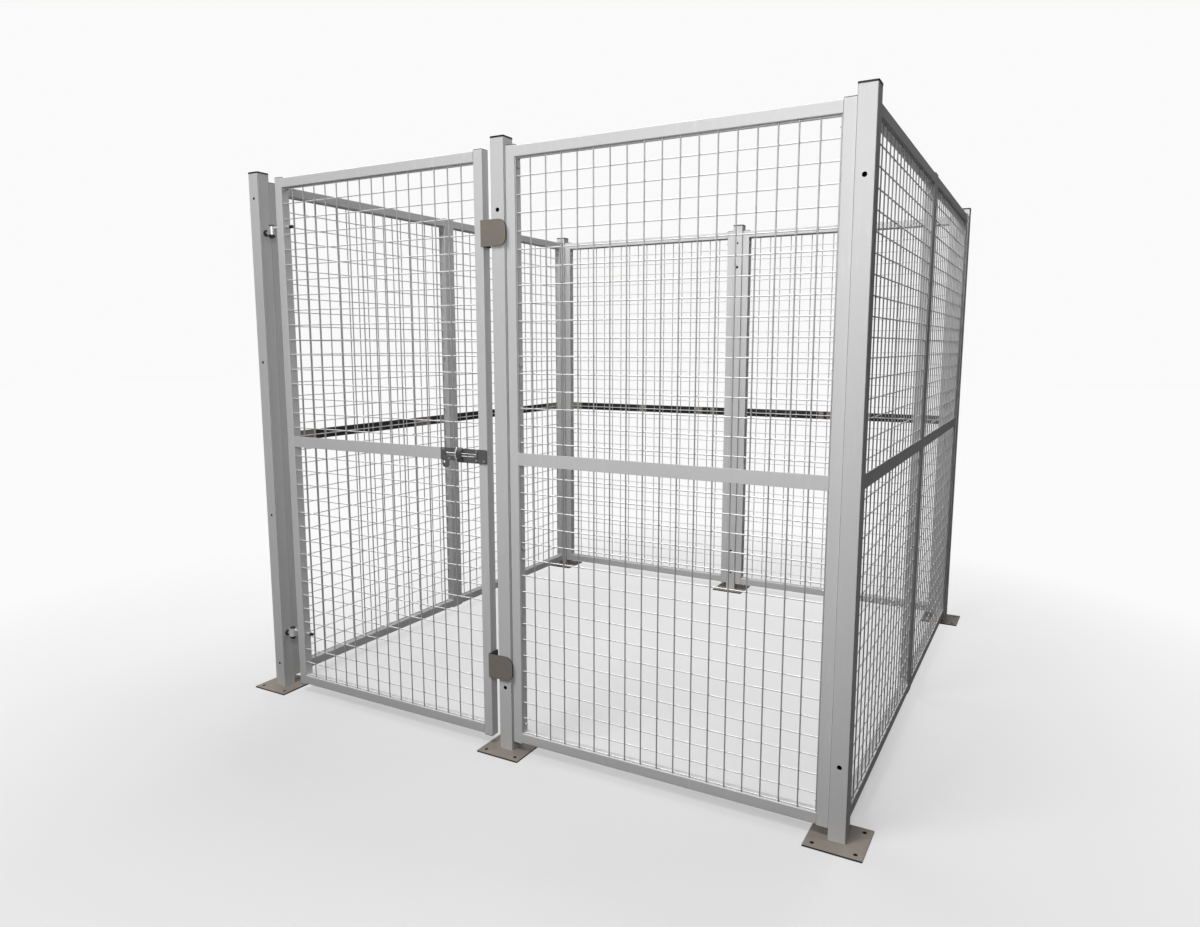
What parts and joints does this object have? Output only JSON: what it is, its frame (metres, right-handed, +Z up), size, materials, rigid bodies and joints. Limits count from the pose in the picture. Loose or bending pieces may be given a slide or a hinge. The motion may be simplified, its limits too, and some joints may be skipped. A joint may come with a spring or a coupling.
{
  "type": "wire mesh partition with door",
  "caption": "Free-standing square wire mesh enclosure: square posts on base plates, framed welded mesh panels, and a hinged mesh door with a slide bolt.",
  "frame": {"origin": "centre of the footprint on the floor", "axes": "+Z up; the front with the door faces -Y; the door's hinges are at its -X side; +X to the right seen from the front"},
  "size_m": [2.34, 2.29, 1.965],
  "materials": {
    "post_paint": "satin light grey powder paint",
    "frame_paint": "satin light grey powder paint",
    "rail_paint": "satin light grey powder paint outside, near-black inside",
    "wire_bright": "bright drawn steel wire",
    "bare_plate": "matt bare hot-rolled steel, beige brown",
    "black_plastic": "matt",
    "zinc_steel": "bright zinc plating",
    "dark_steel": "satin dark grey",
    "bright_steel": "polished"
  },
  "bodies": {
    "enclosure": {"post_front_left": "post_paint", "post_front_middle": "post_paint", "post_front_right": "post_paint", "post_back_left": "post_paint", "post_back_middle": "post_paint", "post_back_right": "post_paint", "base_plates": "bare_plate", "post_caps": "black_plastic", "frame_front": "frame_paint", "frame_right_front": "frame_paint", "frame_right_back": "frame_paint", "frame_back_right": "frame_paint", "frame_back_left": "frame_paint", "frame_left_back": "frame_paint", "frame_left_front": "frame_paint", "mid_rail_front": "rail_paint", "mid_rail_right_front": "rail_paint", "mid_rail_right_back": "rail_paint", "mid_rail_back_right": "rail_paint", "mid_rail_back_left": "rail_paint", "mid_rail_left_back": "rail_paint", "mid_rail_left_front": "rail_paint", "mesh_front": "wire_bright", "mesh_right_front": "wire_bright", "mesh_right_back": "wire_bright", "mesh_back_right": "wire_bright", "mesh_back_left": "wire_bright", "mesh_left_back": "wire_bright", "mesh_left_front": "wire_bright", "panel_stile_caps": "black_plastic", "panel_studs": "zinc_steel", "panel_bolts": "zinc_steel", "panel_nuts": "zinc_steel", "post_eye_bolts": "zinc_steel", "post_eye_nuts": "dark_steel", "hinge_pins": "zinc_steel", "hinge_pin_nuts": "dark_steel"},
    "door": {"door_frame": "frame_paint", "door_mid_rail": "rail_paint", "door_mesh": "wire_bright", "door_stile_caps": "black_plastic", "door_eye_bolts": "zinc_steel", "door_eye_nuts": "zinc_steel", "rod_end_caps": "black_plastic", "stop_upper": "bare_plate", "stop_lower": "bare_plate", "latch_left_plate": "dark_steel", "latch_right_plate": "dark_steel", "latch_guide": "dark_steel", "latch_screws": "zinc_steel"},
    "slide_bolt": {"latch_bolt": "bright_steel", "latch_carrier": "dark_steel", "latch_handle": "dark_steel", "handle_screws": "zinc_steel"}
  },
  "joints": [
    {"name": "door_hinge", "type": "hinge", "parent": "enclosure", "child": "door", "pos_m": [-1.034, -1.065, 0.984], "axis": [0, 0, -1], "range_deg": [0, 120]},
    {"name": "bolt_slide", "type": "slide", "parent": "door", "child": "slide_bolt", "axis": [1, 0, 0], "range_m": [0, 0.05]}
  ]
}
